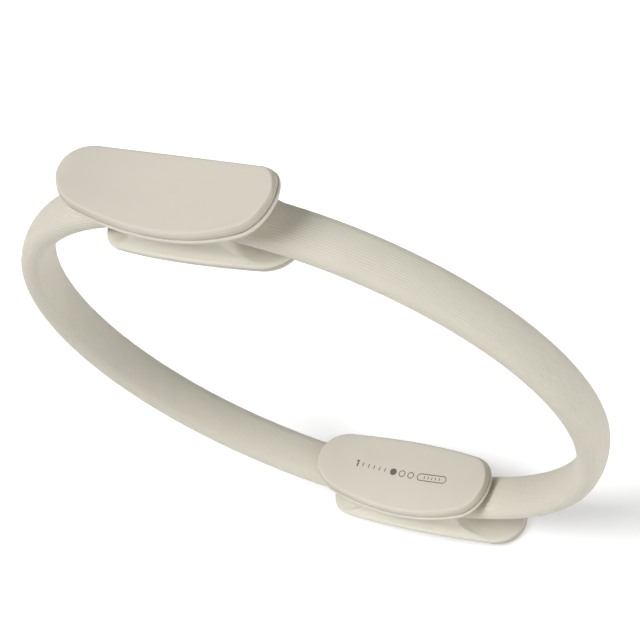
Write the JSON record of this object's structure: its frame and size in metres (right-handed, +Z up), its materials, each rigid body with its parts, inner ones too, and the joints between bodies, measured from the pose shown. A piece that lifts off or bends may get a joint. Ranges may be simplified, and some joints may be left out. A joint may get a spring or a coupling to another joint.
{
  "type": "pilates ring",
  "caption": "Sprung resistance ring with ribbed foam sleeves and two opposite handles, each with a contoured soft pad inside and outside the ring.",
  "frame": {"origin": "under the ring's middle, on the surface that the lower handle's outer pad stands on", "axes": "+Z up through both handles, +Y along the ring's axis, +X across the ring"},
  "size_m": [0.3802, 0.0538, 0.418],
  "materials": {
    "sleeve_foam": "matte ribbed foam rubber, warm stone grey",
    "handle_shell": "matte moulded plastic, warm stone grey",
    "soft_pad": "soft-touch foam cover, warm stone grey",
    "spring_steel": "blued and oiled strip",
    "liner_rubber": "black rubber",
    "pin_steel": "ground steel",
    "screw_steel": "black oxide",
    "mark_ink": "dark printed level mark",
    "insert_brass": "turned brass"
  },
  "bodies": {
    "lower_handle": {"inner_spring_hoop": "spring_steel", "outer_spring_hoop": "spring_steel", "left_sleeve": "sleeve_foam", "right_sleeve": "sleeve_foam", "lower_outer_shell": "handle_shell", "lower_inner_shell": "handle_shell", "lower_outer_pad": "soft_pad", "lower_inner_pad": "soft_pad", "lower_band_liner": "liner_rubber", "lower_locating_pins": "pin_steel", "lower_shell_screws": "screw_steel", "lower_threaded_inserts": "insert_brass"},
    "upper_handle": {"upper_outer_shell": "handle_shell", "upper_inner_shell": "handle_shell", "upper_outer_pad": "soft_pad", "upper_inner_pad": "soft_pad", "upper_band_liner": "liner_rubber", "upper_locating_pins": "pin_steel", "upper_shell_screws": "screw_steel", "upper_threaded_inserts": "insert_brass"}
  },
  "joints": [
    {"name": "squeeze", "type": "slide", "parent": "lower_handle", "child": "upper_handle", "axis": [0, 0, -1], "range_m": [-0.02, 0.08], "stiffness_N_per_m": 1100, "springref_m": -0.0012, "deforming": ["inner_spring_hoop", "outer_spring_hoop", "left_sleeve", "right_sleeve"]}
  ]
}
